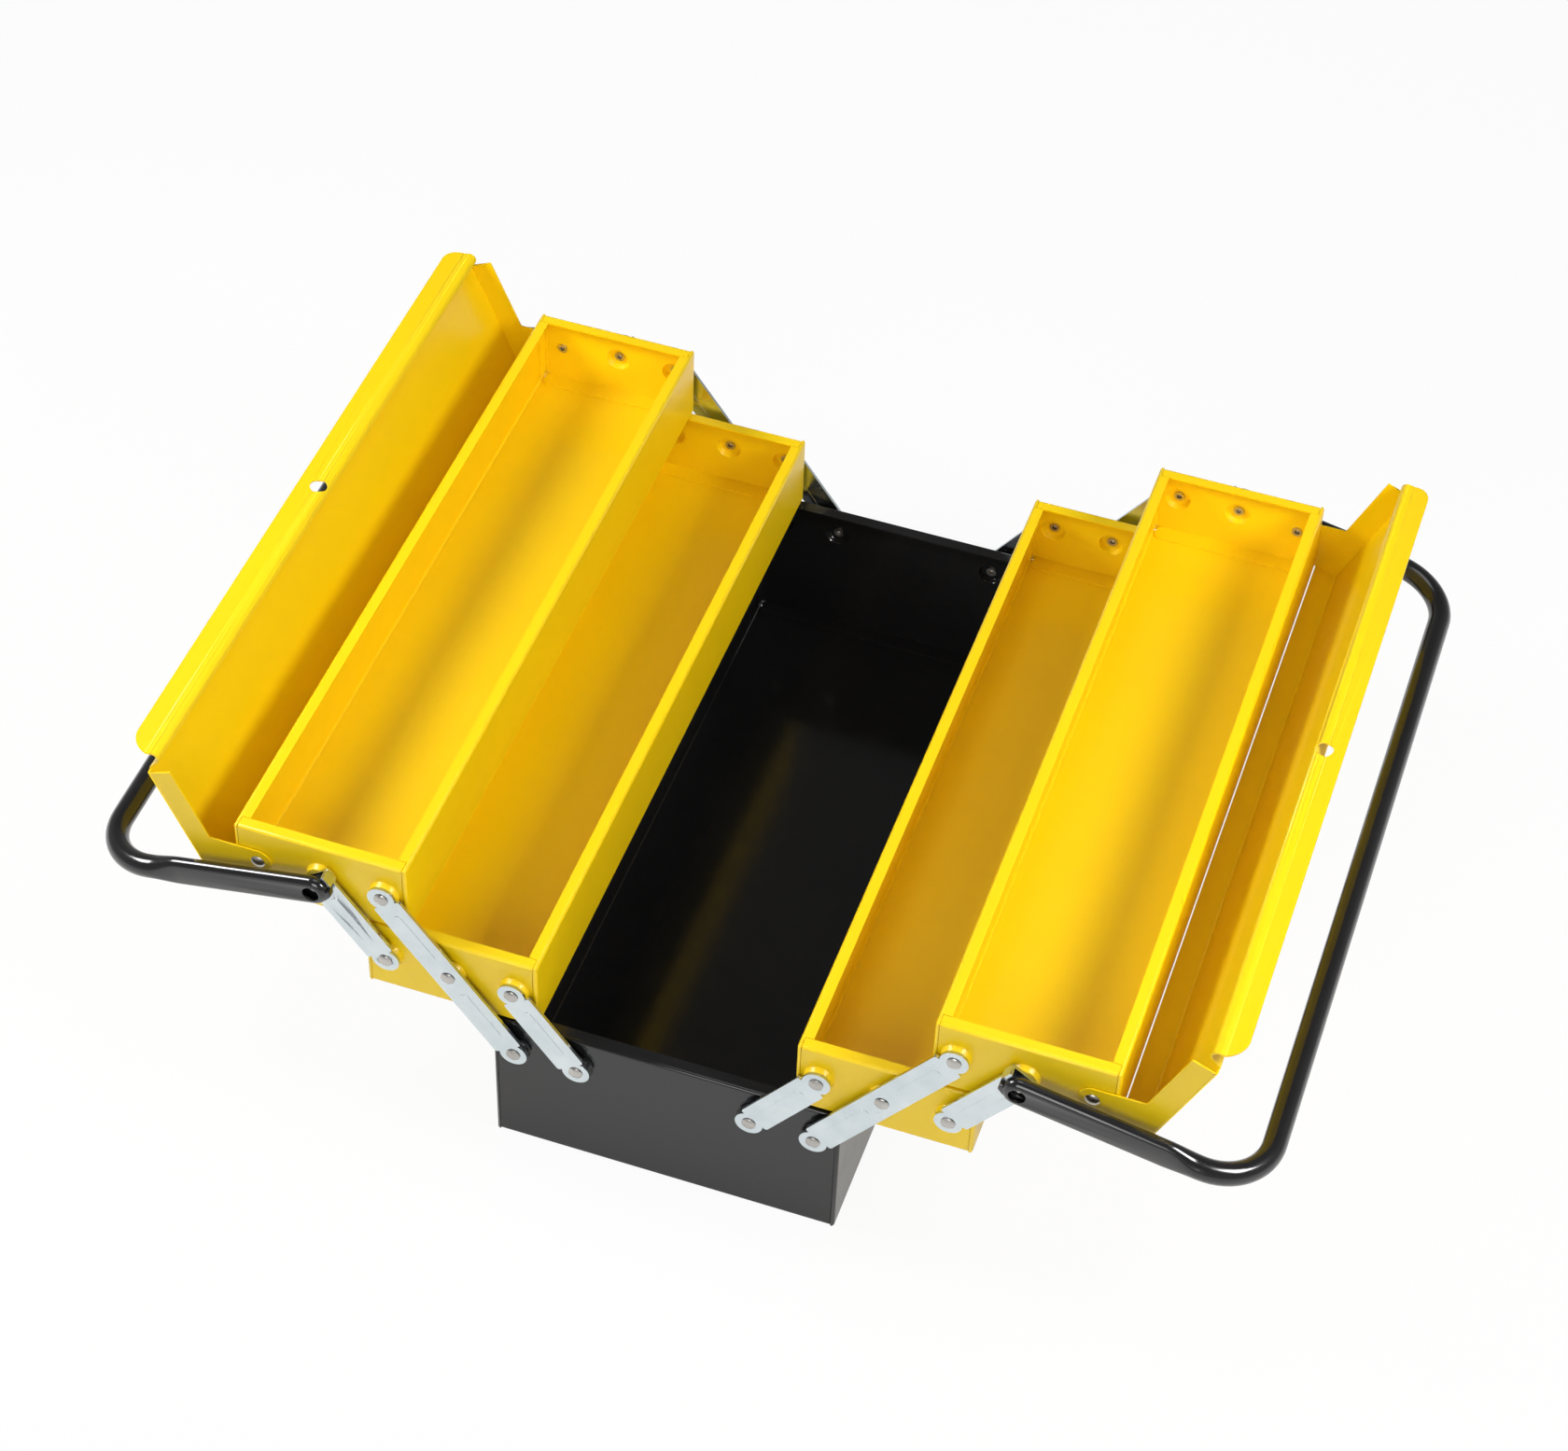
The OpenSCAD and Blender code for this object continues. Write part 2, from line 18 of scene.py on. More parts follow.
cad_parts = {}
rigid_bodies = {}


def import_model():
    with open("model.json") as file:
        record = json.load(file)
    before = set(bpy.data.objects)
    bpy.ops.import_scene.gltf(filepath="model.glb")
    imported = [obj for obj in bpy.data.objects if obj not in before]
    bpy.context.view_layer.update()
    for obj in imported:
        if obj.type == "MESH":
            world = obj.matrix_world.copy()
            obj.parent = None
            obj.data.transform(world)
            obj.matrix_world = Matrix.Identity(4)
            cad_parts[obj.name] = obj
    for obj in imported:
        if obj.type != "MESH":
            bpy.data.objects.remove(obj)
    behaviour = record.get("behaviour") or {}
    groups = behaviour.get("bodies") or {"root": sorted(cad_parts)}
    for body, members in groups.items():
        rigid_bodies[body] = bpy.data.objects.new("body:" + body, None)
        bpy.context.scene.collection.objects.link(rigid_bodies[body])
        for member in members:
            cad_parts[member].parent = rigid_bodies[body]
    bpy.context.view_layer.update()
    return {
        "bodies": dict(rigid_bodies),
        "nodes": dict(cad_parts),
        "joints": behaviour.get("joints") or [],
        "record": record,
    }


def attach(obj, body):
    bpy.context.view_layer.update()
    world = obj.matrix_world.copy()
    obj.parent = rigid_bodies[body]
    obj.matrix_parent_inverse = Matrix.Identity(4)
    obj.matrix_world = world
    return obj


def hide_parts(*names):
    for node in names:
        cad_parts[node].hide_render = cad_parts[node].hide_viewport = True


LOG = logging.getLogger("tool_box")

MM = 0.001
# Slack in metres when vertices are picked by their place
HAIR = 0.000001
FINE = 0.00001

Colour = tuple[float, float, float]
Point = tuple[float, float, float]
Span = tuple[float, float]


class Side(Enum):
    """A side of the case, with the sign of its X."""

    LEFT = -1
    RIGHT = 1

    @property
    def tag(self) -> str:
        """The side's name as the nodes have it."""
        return self.name.lower()


class End(Enum):
    """An end of the case, with the sign of its Y."""

    FRONT = -1
    REAR = 1

    @property
    def tag(self) -> str:
        """The end's name as the nodes have it."""
        return self.name.lower()


class Action(Enum):
    """What a tool does to a piece, by the Boolean modifier's names."""

    ADD = "UNION"
    REMOVE = "DIFFERENCE"


@dataclass(frozen=True)
class Grain:
    """Size of a noise pattern.

    Attributes:
        scale: cells per metre.
        detail: octaves.
        stretch: scale of the pattern along each axis.
    """

    scale: float
    detail: float = 2.0
    stretch: Point = (1, 1, 1)


class Graph:
    """A short way to write a material's node tree."""

    # Values of noise taken as its dark and its light
    SPREAD: Span = (0.3, 0.7)
    # Numbers of the Mix node's sockets for colours
    COLOUR_LOW, COLOUR_HIGH, COLOUR_OUT = 6, 7, 2

    def __init__(self, name: str) -> None:
        """Starts an empty material.

        Args:
            name: the material's name.
        """
        self.material = bpy.data.materials.new(name)
        self.material.use_nodes = True
        self.tree = self.material.node_tree
        self.tree.nodes.clear()
        self.place = self.node("ShaderNodeTexCoord").outputs["Object"]

    def node(self, kind: str, inputs: dict | None = None, **settings: object) -> bpy.types.Node:
        """Adds a node.

        Args:
            kind: the node's type name.
            inputs: values, or sockets to link, by input name or number.
            settings: the node's own settings.

        Returns:
            The new node.
        """
        made = self.tree.nodes.new(kind)
        for key, value in settings.items():
            setattr(made, key, value)
        for key, value in (inputs or {}).items():
            if isinstance(value, bpy.types.NodeSocket):
                self.tree.links.new(value, made.inputs[key])
            else:
                made.inputs[key].default_value = value
        return made

    def noise(self, grain: Grain) -> bpy.types.NodeSocket:
        """A noise pattern fixed to the object.

        Args:
            grain: its size.

        Returns:
            The socket with the pattern's value.
        """
        mapped = self.node("ShaderNodeMapping", {"Vector": self.place, "Scale": grain.stretch})
        inputs = {"Vector": mapped.outputs[0], "Scale": grain.scale, "Detail": grain.detail}
        return self.node("ShaderNodeTexNoise", inputs).outputs[0]

    def between(
        self, factor: bpy.types.NodeSocket, low: float, high: float
    ) -> bpy.types.NodeSocket:
        """Spreads a pattern over a range of values.

        Args:
            factor: the pattern.
            low: value where the pattern is dark.
            high: value where the pattern is light.

        Returns:
            The socket with the new value.
        """
        dark, light = self.SPREAD
        spread = {"From Min": dark, "From Max": light, "To Min": low, "To Max": high}
        return self.node("ShaderNodeMapRange", {"Value": factor, **spread}).outputs[0]

    def blend(
        self, factor: bpy.types.NodeSocket, low: Colour, high: Colour
    ) -> bpy.types.NodeSocket:
        """Mixes two colours by a pattern.

        Args:
            factor: the pattern, from 0 to 1.
            low: colour at 0.
            high: colour at 1.

        Returns:
            The socket with the colour.
        """
        made = self.node("ShaderNodeMix", data_type="RGBA")
        self.tree.links.new(factor, made.inputs["Factor"])
        made.inputs[self.COLOUR_LOW].default_value = (*low, 1)
        made.inputs[self.COLOUR_HIGH].default_value = (*high, 1)
        return made.outputs[self.COLOUR_OUT]

    def bump(
        self, height: bpy.types.NodeSocket, depth: float, before: bpy.types.NodeSocket | None = None
    ) -> bpy.types.NodeSocket:
        """Turns a pattern into relief.

        Args:
            height: the pattern.
            depth: height of the relief in metres.
            before: relief that this one is added to.

        Returns:
            The socket with the normal.
        """
        inputs = {"Height": height, "Distance": depth, "Strength": 1.0}
        if before is not None:
            inputs["Normal"] = before
        return self.node("ShaderNodeBump", inputs).outputs[0]

    def finish(self, **inputs: object) -> bpy.types.Material:
        """Closes the tree with a principled surface.

        Args:
            inputs: its inputs, with underscores for spaces.

        Returns:
            The material.
        """
        named = {key.replace("_", " "): value for key, value in inputs.items()}
        surface = self.node("ShaderNodeBsdfPrincipled", named)
        self.node("ShaderNodeOutputMaterial", {"Surface": surface.outputs[0]})
        return self.material


@dataclass(frozen=True)
class Paint:
    """Powder coat: a smooth glossy skin with the slight waves of sprayed powder.

    Attributes:
        name: the material's name.
        light: colour where the coat is thin.
        dark: colour where the coat is thick.
        rough: lowest and highest roughness.
        peel: depth of the fine waves, in metres.
        coat: strength of the clear gloss on top.
        coat_rough: its roughness.
        clouds: pattern of thin and thick coat.
        wave: pattern of the broad waves of the sheet.
        wave_depth: their depth, in metres.
        skin: pattern of the fine waves.
        sheen: pattern of the roughness.
    """

    name: str
    light: Colour
    dark: Colour
    rough: Span
    peel: float = 0.000006
    coat: float = 0.4
    coat_rough: float = 0.08
    clouds: Grain = Grain(14, 4)
    wave: Grain = Grain(7, 1)
    wave_depth: float = 0.00007
    skin: Grain = Grain(420, 2)
    sheen: Grain = Grain(60, 5)

    def build(self) -> bpy.types.Material:
        """Makes the material.

        Returns:
            The material.
        """
        g = Graph(self.name)
        waves = g.bump(g.noise(self.wave), self.wave_depth)
        return g.finish(
            Base_Color=g.blend(g.between(g.noise(self.clouds), 0, 1), self.dark, self.light),
            Roughness=g.between(g.noise(self.sheen), *self.rough),
            Coat_Weight=self.coat,
            Coat_Roughness=self.coat_rough,
            Normal=g.bump(g.noise(self.skin), self.peel, waves),
        )


@dataclass(frozen=True)
class Plate:
    """Plated steel: bright, with faint rolling lines and cloudy patches.

    Attributes:
        name: the material's name.
        bright: colour of the clean metal.
        cloudy: colour of the passivated patches.
        rough: lowest and highest roughness.
        patches: pattern of clean metal and patches.
        rolled: pattern of the rolling lines, drawn out along Z.
        line_depth: their depth, in metres.
        dents: pattern of the broad dents.
        dent_depth: their depth, in metres.
        smears: pattern of the roughness.
    """

    name: str
    bright: Colour
    cloudy: Colour
    rough: Span
    patches: Grain = Grain(55, 5)
    rolled: Grain = Grain(700, 3, (1, 1, 0.08))
    line_depth: float = 0.00001
    dents: Grain = Grain(35, 1)
    dent_depth: float = 0.0003
    smears: Grain = Grain(150, 5)

    def build(self) -> bpy.types.Material:
        """Makes the material.

        Returns:
            The material.
        """
        g = Graph(self.name)
        dented = g.bump(g.noise(self.dents), self.dent_depth)
        return g.finish(
            Base_Color=g.blend(g.between(g.noise(self.patches), 0, 1), self.cloudy, self.bright),
            Metallic=1.0,
            Roughness=g.between(g.noise(self.smears), *self.rough),
            Normal=g.bump(g.noise(self.rolled), self.line_depth, dented),
        )


YELLOW = Paint(
    name="yellow_paint",
    light=(0.93, 0.645, 0.001),
    dark=(0.91, 0.62, 0.001),
    rough=(0.32, 0.4),
    coat=0.12,
)
BLACK = Paint(
    name="black_paint",
    light=(0.010, 0.010, 0.0105),
    dark=(0.008, 0.008, 0.0085),
    rough=(0.14, 0.2),
    peel=0.000008,
    coat=0.08,
)
GLOSS = Paint(
    name="handle_gloss",
    light=(0.010, 0.010, 0.011),
    dark=(0.007, 0.007, 0.008),
    rough=(0.16, 0.24),
    peel=0.000004,
    coat=0.6,
)
ZINC = Plate(
    name="zinc_plate",
    bright=(0.70, 0.76, 0.78),
    cloudy=(0.60, 0.67, 0.70),
    rough=(0.16, 0.28),
)
NICKEL = Plate(
    name="rivet_steel",
    bright=(0.62, 0.60, 0.57),
    cloudy=(0.45, 0.43, 0.40),
    rough=(0.22, 0.38),
)


def deselect() -> None:
    """Clears the selection in object mode."""
    if bpy.context.object and bpy.context.object.mode != "OBJECT":
        bpy.ops.object.mode_set(mode="OBJECT")
    bpy.ops.object.select_all(action="DESELECT")


def only(piece: bpy.types.Object) -> None:
    """Selects one object alone and makes it the active one.

    Args:
        piece: the object.
    """
    deselect()
    piece.select_set(True)
    bpy.context.view_layer.objects.active = piece


def edit_all(piece: bpy.types.Object) -> None:
    """Opens a piece in edit mode with all of it selected.

    Args:
        piece: the object.
    """
    only(piece)
    bpy.ops.object.mode_set(mode="EDIT")
    bpy.ops.mesh.select_all(action="SELECT")


def pick(piece: bpy.types.Object, wanted: Callable[[Vector], bool]) -> None:
    """Selects the vertices of the piece in edit mode that pass a test.

    Args:
        piece: the object, in edit mode.
        wanted: takes a vertex's place in metres and says whether it is selected.
    """
    bpy.ops.mesh.select_all(action="DESELECT")
    bpy.ops.object.mode_set(mode="OBJECT")
    for vertex in piece.data.vertices:
        vertex.select = bool(wanted(vertex.co))
    bpy.ops.object.mode_set(mode="EDIT")


def face_outwards() -> None:
    """Turns all faces of the piece in edit mode outwards."""
    bpy.ops.mesh.select_all(action="SELECT")
    bpy.ops.mesh.normals_make_consistent(inside=False)


def pull(move: Point) -> None:
    """Extrudes what is selected.

    Args:
        move: how far, in millimetres.
    """
    bpy.ops.mesh.extrude_region_move(TRANSFORM_OT_translate={"value": tuple(MM * m for m in move)})


def settle(piece: bpy.types.Object) -> None:
    """Puts a piece's place, turn and scale into its mesh.

    Args:
        piece: the object.
    """
    only(piece)
    bpy.ops.object.transform_apply(location=True, rotation=True, scale=True)


def combine(piece: bpy.types.Object, tool: bpy.types.Object, action: Action) -> None:
    """Joins a tool to a piece or cuts it out of it, and removes the tool.

    Args:
        piece: the object that stays.
        tool: the object that is used up.
        action: what the tool does.
    """
    only(piece)
    step = piece.modifiers.new("cut", "BOOLEAN")
    step.operation = action.value
    step.solver = "EXACT"
    step.object = tool
    bpy.ops.object.modifier_apply(modifier=step.name)
    bpy.data.objects.remove(tool, do_unlink=True)


def add_rounding(piece: bpy.types.Object, width: float, angle: float) -> bpy.types.Modifier:
    """Gives a piece the small rounding of painted or tumbled sheet, as a modifier.

    Args:
        piece: the object.
        width: width of the rounding, in millimetres.
        angle: least angle of an edge that is rounded, in degrees.

    Returns:
        The modifier.
    """
    edge = piece.modifiers.new("edge", "BEVEL")
    edge.width = width * MM
    edge.segments = 2
    edge.limit_method = "ANGLE"
    edge.angle_limit = math.radians(angle)
    return edge


def finish_edges(piece: bpy.types.Object, width: float, angle: float, smooth: float) -> None:
    """Rounds a modelled piece's edges for good and shades the rest smooth.

    Args:
        piece: the object.
        width: width of the rounding, in millimetres.
        angle: least angle of an edge that is rounded, in degrees.
        smooth: greatest angle that is shaded smooth, in degrees.
    """
    only(piece)
    edge = add_rounding(piece, width, angle)
    bpy.ops.object.modifier_apply(modifier=edge.name)
    bpy.ops.object.shade_smooth_by_angle(angle=math.radians(smooth))


def mirrored(first: bpy.types.Object, x: int, y: int) -> bpy.types.Object:
    """Copies a piece to another side or end of the case.

    Args:
        first: the piece on the right, or at the front right.
        x: -1 for the left side.
        y: -1 for the rear end.

    Returns:
        The copy, with its own mesh.
    """
    piece = first.copy()
    piece.data = first.data.copy()
    bpy.context.collection.objects.link(piece)
    piece.scale = (x, y, 1)
    settle(piece)
    bpy.ops.object.mode_set(mode="EDIT")
    face_outwards()
    deselect()
    return piece


def dress(piece: bpy.types.Object, material: bpy.types.Material) -> None:
    """Gives a modelled piece one finish.

    Args:
        piece: the object.
        material: the finish.
    """
    piece.data.materials.clear()
    piece.data.materials.append(material)


def hand_over(piece: bpy.types.Object, name: str, node: str, body: str) -> None:
    """Names a finished piece, hides the CAD node that it replaces, and attaches it to its body.

    Args:
        piece: the object.
        name: its name.
        node: the CAD node that it replaces.
        body: the body that it rides on.
    """
    piece.name = piece.data.name = name
    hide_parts(node)
    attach(piece, body)
    LOG.info("%s: %d faces", piece.name, len(piece.data.polygons))


class Finishes:
    """Gives every CAD node the finish of its material slot.

    Attributes:
        made: the materials by slot.
    """

    BY_SLOT = {f.name: f for f in (YELLOW, BLACK, GLOSS, ZINC, NICKEL)}
    # Width of the edges' rounding in millimetres
    EDGES = {
        "yellow_paint": 0.2,
        "black_paint": 0.2,
        "handle_gloss": 0.3,
        "zinc_plate": 0.25,
        "rivet_steel": 0.15,
    }
    # Least angle of an edge that is rounded, in degrees
    EDGE_ANGLE = 35.0
    # Distance in metres within which a node's loose corners are joined
    JOINED = 0.000002

    def __init__(self, frame: dict) -> None:
        """Makes the materials and hands them out.
        """
        self.made = {slot: finish.build() for slot, finish in self.BY_SLOT.items()}
        slots = {part["node"]: part["material_slot"] for part in frame["record"]["subparts"]}
        for name, piece in frame["nodes"].items():
            for place in piece.material_slots:
                place.material = self.made[slots[name]]
            weld = piece.modifiers.new("joined", "WELD")
            weld.merge_threshold = self.JOINED
            add_rounding(piece, self.EDGES[slots[name]], self.EDGE_ANGLE)
            LOG.info("%s: %s", name, slots[name])


class LinkKind(Enum):
    """A kind of link, with its lower pivot, its length in steps, and whether it ends in a tab."""

    INNER = ("inner", 50.0, 77.0, 1, False)
    LONG = ("long", 86.5, 77.0, 2, False)
    OUTER = ("outer", 159.5, 127.0, 1, True)

    def __init__(self, tag: str, x: float, z: float, steps: int, tab: bool) -> None:
        """Keeps the kind's facts.

        Args:
            tag: the kind's name as the nodes have it.
            x: the lower pivot's distance from the middle, on the right side, in millimetres.
            z: its height, in millimetres.
            steps: pivots above the lower one.
            tab: whether the upper end is square, with a tab turned out.
        """
        self.tag = tag
        self.x = x
        self.z = z
        self.steps = steps
        self.tab = tab


@dataclass
class Links:
    """The zinc-plated links, pressed from strip, with a soft rib between their pivots.

    Sizes are in millimetres. A link is drawn along X from its lower pivot, with Z across it.

    Attributes:
        step: distance between pivots.
        lean: lean from upright when open, in degrees.
        width: width of the strip.
        thick: its thickness.
        end: radius of the round ends.
        shoulder: distance from a pivot at which the full width starts.
        back: distance of the back face from the middle of the case.
        rib: width and height of the rib.
        rib_end: distance of the rib's ends from the pivots.
        rib_round: rounding of the rib's outer edge, as a share of its height.
        bore: radius of the rivet holes.
        square: how far a square end reaches past its pivot.
        tab: length, distance from the middle line and height of the tab.
        corners: radius of the corners of the strip and of the tab.
        spare: how far a cutter passes a face.
        rounding: width of the edges' rounding.
    """

    step: float = 61.906
    lean: float = 36.13
    width: float = 18.2
    thick: float = 1.8
    end: float = 7.9
    shoulder: float = 4.6
    back: float = 228.0
    rib: Span = (5.4, 0.2)
    rib_end: float = 13.0
    rib_round: float = 0.95
    bore: float = 2.5
    square: float = 5.8
    tab: tuple[float, float, float] = (8.0, 9.4, 5.2)
    corners: Span = (1.6, 0.6)
    spare: float = 0.5
    rounding: float = 0.28

    def build(self, material: bpy.types.Material) -> None:
        """Models each kind once and copies it to both ends of both sides.

        Args:
            material: the finish.
        """
        for kind in LinkKind:
            first = self.model(kind)
            dress(first, material)
            for side in Side:
                for end in End:
                    piece = mirrored(first, side.value, -end.value)
                    where = f"{end.tag}_{side.tag}"
                    name, node = f"{kind.tag}_strip_{where}", f"{kind.tag}_link_{where}"
                    hand_over(piece, name, node, f"{kind.tag}_links_{side.tag}")
            bpy.data.objects.remove(first, do_unlink=True)

    def model(self, kind: LinkKind) -> bpy.types.Object:
        """Models the link of the front right corner.

        Args:
            kind: the kind of link.

        Returns:
            The link in its place.
        """
        piece = self.outline(kind)
        self.press_ribs(piece, kind.steps)
        for step in range(kind.steps + 1):
            tool = self.disc(step * self.step, self.bore, (-self.spare, self.thick + self.spare))
            combine(piece, tool, Action.REMOVE)
        finish_edges(piece, self.rounding, angle=40, smooth=35)
        flat = piece.modifiers.new("flat_faces", "WEIGHTED_NORMAL")
        flat.keep_sharp = True
        flat.weight = 100
        piece.rotation_euler = (0, math.radians(self.lean - 90), 0)
        piece.location = (kind.x * MM, 0, kind.z * MM)
        settle(piece)
        return piece

    def outline(self, kind: LinkKind) -> bpy.types.Object:
        """Cuts the strip with its round ends, and its tab where it has one.

        Args:
            kind: the kind of link.

        Returns:
            The strip, without ribs and holes.
        """
        length = kind.steps * self.step
        far = length + self.square if kind.tab else length - self.shoulder
        plate = (0, self.thick)
        strip, tip = self.corners
        half = self.width / 2
        piece = self.block((self.shoulder, far), (-half, half), plate, strip)
        for x in (0.0,) if kind.tab else (0.0, length):
            combine(piece, self.disc(x, self.end, plate), Action.ADD)
        if kind.tab:
            size, inner, high = self.tab
            outer = inner + self.thick
            across = (far - size, far)
            combine(piece, self.block(across, (0, outer), plate, tip), Action.ADD)
            raised = (0, self.thick + high)
            combine(piece, self.block(across, (inner, outer), raised, tip), Action.ADD)
        return piece

    def press_ribs(self, piece: bpy.types.Object, steps: int) -> None:
        """Presses a rib out of the strip between each two pivots.

        Args:
            piece: the strip.
            steps: how many ribs it has.
        """
        wide, high = self.rib
        for step in range(steps):
            run = (step * self.step + self.rib_end, (step + 1) * self.step - self.rib_end)
            proud = self.ridge(run, wide, self.thick - self.spare, self.thick + high)
            combine(piece, proud, Action.ADD)
            combine(piece, self.ridge(run, wide - self.thick, -self.spare, high), Action.REMOVE)

    def block(self, x: Span, z: Span, y: Span, corner: float) -> bpy.types.Object:
        """Cuts a flat block with rounded corners.

        Args:
            x: its ends along the link.
            z: its ends across the link.
            y: its faces, measured outwards from the back.
            corner: radius of its corners.

        Returns:
            The block.
        """
        deselect()
        depth = -(self.back + (y[0] + y[1]) / 2) * MM
        middle = ((x[0] + x[1]) / 2 * MM, depth, (z[0] + z[1]) / 2 * MM)
        bpy.ops.mesh.primitive_plane_add(size=1, location=middle, rotation=(math.pi / 2, 0, 0))
        piece = bpy.context.object
        piece.scale = ((x[1] - x[0]) * MM, (z[1] - z[0]) * MM, 1)
        settle(piece)
        edit_all(piece)
        bpy.ops.mesh.bevel(offset=corner * MM, segments=4, affect="VERTICES")
        self.thicken(y[1] - y[0])
        return piece

    def disc(self, x: float, radius: float, y: Span) -> bpy.types.Object:
        """Cuts a round disc.

        Args:
            x: its place along the link.
            radius: its radius.
            y: its faces, measured outwards from the back.

        Returns:
            The disc.
        """
        deselect()
        bpy.ops.mesh.primitive_circle_add(
            vertices=48,
            radius=radius * MM,
            fill_type="NGON",
            location=(x * MM, -(self.back + (y[0] + y[1]) / 2) * MM, 0),
            rotation=(math.pi / 2, 0, 0),
        )
        piece = bpy.context.object
        settle(piece)
        edit_all(piece)
        self.thicken(y[1] - y[0])
        return piece

    def ridge(self, x: Span, width: float, low: float, high: float) -> bpy.types.Object:
        """Cuts a slot-shaped ridge with a soft outer edge.

        Args:
            x: the tips of its round ends.
            width: its width.
            low: its inner face, measured outwards from the back.
            high: its outer face.

        Returns:
            The ridge.
        """
        middle = x[0] + width / 2
        piece = self.disc(middle, width / 2, (low, high))
        edit_all(piece)
        pick(piece, lambda co: co.x > middle * MM + HAIR)
        bpy.ops.transform.translate(value=((x[1] - x[0] - width) * MM, 0, 0))
        front = -(self.back + high) * MM
        pick(piece, lambda co: abs(co.y - front) < HAIR)
        bpy.ops.mesh.bevel(offset=self.rib_round * self.rib[1] * MM, segments=3)
        deselect()
        return piece

    def thicken(self, depth: float) -> None:
        """Extrudes a face that stands in the middle of a plate to both of its faces.

        Args:
            depth: thickness of the plate.
        """
        bpy.ops.transform.translate(value=(0, depth / 2 * MM, 0))
        pull((0, -depth, 0))
        face_outwards()
        deselect()


@dataclass
class Handles:
    """The two carrying handles: bent tube, pressed flat along each arm, with a heel and a hole.

    Sizes are in millimetres, measured from the pivot with the arm along X.

    Attributes:
        pivot: place of the right handle's pivot.
        slope: how far the arms point below level, in degrees.
        reach: distance of the crossbar from the pivot.
        tube: radius of the tube.
        bend: radius of the bends.
        arm_y: distance of the arms' middle from the middle of the case.
        arm: half height and half thickness of the flattened arm.
        wall: thickness of the tube's wall.
        flat: end of the flattened part and start of the round one.
        holes: radii of the rivet's hole and of the hole outside it.
        lean: lean of the outer link from upright, in degrees.
        heel_reach: distance of the heel's corner from the pivot.
        heel_back: distance of the heel's face from the pivot.
        heel_turn: how far the heel's end goes round the pivot at that reach, in degrees.
        heel_spread: how far it goes round in all, in degrees.
        heel_inset: set-back of its last corner from the arm's edge.
        heel_thick: its thickness.
        heel_round: rounding of its edges.
        rounding: rounding of the other edges.
        around: faces round the tube.
        bend_steps: faces along a bend.
        press_steps: faces along the change from round to flat.
    """

    pivot: Span = (196.0, 177.0)
    slope: float = 11.5
    reach: float = 132.5
    tube: float = 6.5
    bend: float = 33.0
    arm_y: float = 235.4
    arm: Span = (9.0, 4.0)
    wall: float = 1.6
    flat: Span = (80.0, 98.5)
    holes: Span = (2.5, 4.8)
    lean: float = 36.13
    heel_reach: float = 10.9
    heel_back: float = 2.5
    heel_turn: float = 22.0
    heel_spread: float = 48.0
    heel_inset: float = 0.2
    heel_thick: float = 5.0
    heel_round: float = 0.5
    rounding: float = 0.35
    around: int = 40
    bend_steps: int = 16
    press_steps: int = 12

    def build(self, material: bpy.types.Material) -> None:
        """Models the right handle, copies it to the left, and hands both to their bodies.

        Args:
            material: the finish.
        """
        right = self.model()
        dress(right, material)
        for side in Side:
            piece = right if side is Side.RIGHT else mirrored(right, -1, 1)
            node = f"handle_{side.tag}"
            hand_over(piece, f"carry_{node}", node, node)

    def model(self) -> bpy.types.Object:
        """Models one handle in its place on the right.

        Returns:
            The handle.
        """
        piece = self.half_tube()
        only(piece)
        other = piece.modifiers.new("other_half", "MIRROR")
        other.use_axis = (False, True, False)
        other.merge_threshold = FINE
        bpy.ops.object.modifier_apply(modifier=other.name)
        cavity = self.cavity(piece)
        for end in End:
            combine(piece, self.heel(end), Action.ADD)
        combine(piece, cavity, Action.REMOVE)
        inner, outer = self.holes
        half = self.arm[1]
        for end in End:
            near = self.drill(inner, end.value * (self.arm_y - half), 2 * self.wall)
            combine(piece, near, Action.REMOVE)
            combine(piece, self.drill(outer, end.value * (self.arm_y + half), half), Action.REMOVE)
        finish_edges(piece, self.rounding, angle=50, smooth=40)
        piece.rotation_euler = (0, math.radians(self.slope), 0)
        piece.location = (self.pivot[0] * MM, 0, self.pivot[1] * MM)
        settle(piece)
        return piece

    def cavity(self, skin: bpy.types.Object) -> bpy.types.Object:
        """Makes the hollow of the tube.

        Args:
            skin: the outer skin.

        Returns:
            A copy of it, smaller by the wall all round.
        """
        piece = skin.copy()
        piece.data = skin.data.copy()
        bpy.context.collection.objects.link(piece)
        edit_all(piece)
        bpy.ops.transform.shrink_fatten(value=-self.wall * MM)
        deselect()
        return piece

    def half_tube(self) -> bpy.types.Object:
        """Draws a ring from the middle of the crossbar round the bend and along one arm.

        Returns:
            The front half of the outer skin, open at the middle of the crossbar.
        """
        deselect()
        bpy.ops.mesh.primitive_circle_add(
            vertices=self.around,
            radius=self.tube * MM,
            location=(self.reach * MM, 0, 0),
            rotation=(math.pi / 2, 0, 0),
        )
        piece = bpy.context.object
        settle(piece)
        straight = self.arm_y - self.bend
        bend_x = self.reach - self.bend
        edit_all(piece)
        pull((0, -straight, 0))
        bpy.ops.mesh.spin(
            steps=self.bend_steps,
            angle=math.pi / 2,
            center=(bend_x * MM, -straight * MM, 0),
            axis=(0, 0, 1),
        )
        last = self.flatten(piece, bend_x)
        pull((-last, 0, 0))
        pick(piece, lambda co: abs(co.x) < 10 * FINE and co.z > -FINE)
        bpy.ops.mesh.spin(
            steps=self.bend_steps, angle=math.pi, center=(0, -self.arm_y * MM, 0), axis=(0, 1, 0)
        )
        bpy.ops.mesh.select_all(action="SELECT")
        bpy.ops.mesh.remove_doubles(threshold=FINE)
        face_outwards()
        deselect()
        return piece

